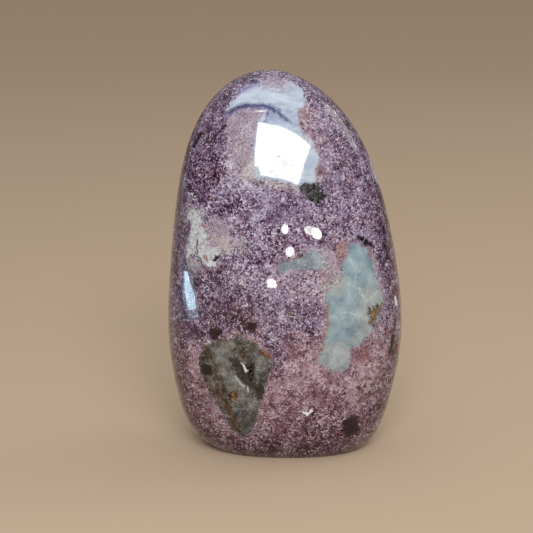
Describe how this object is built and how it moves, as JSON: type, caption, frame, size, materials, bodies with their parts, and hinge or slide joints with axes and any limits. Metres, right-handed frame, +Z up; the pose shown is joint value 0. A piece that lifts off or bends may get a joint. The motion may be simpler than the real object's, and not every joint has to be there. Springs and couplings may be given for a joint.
{
  "type": "lepidolite freeform",
  "caption": "Polished egg-shaped freeform of lilac mica stone with quartz patches, standing upright on a small flat ground foot.",
  "frame": {"origin": "middle of the stone's box at the level of the flat foot", "axes": "+Z up through the top of the stone, -Y out of the broad front that the picture shows, +X to the right seen from the front"},
  "size_m": [0.077, 0.0496, 0.125],
  "materials": {
    "polished_lepidolite": "high polish over fine lilac mica flakes, with white and blue-grey quartz, cream feldspar and smoky quartz patches"
  },
  "bodies": {
    "root": {"lepidolite_stone": "polished_lepidolite"}
  },
  "joints": []
}
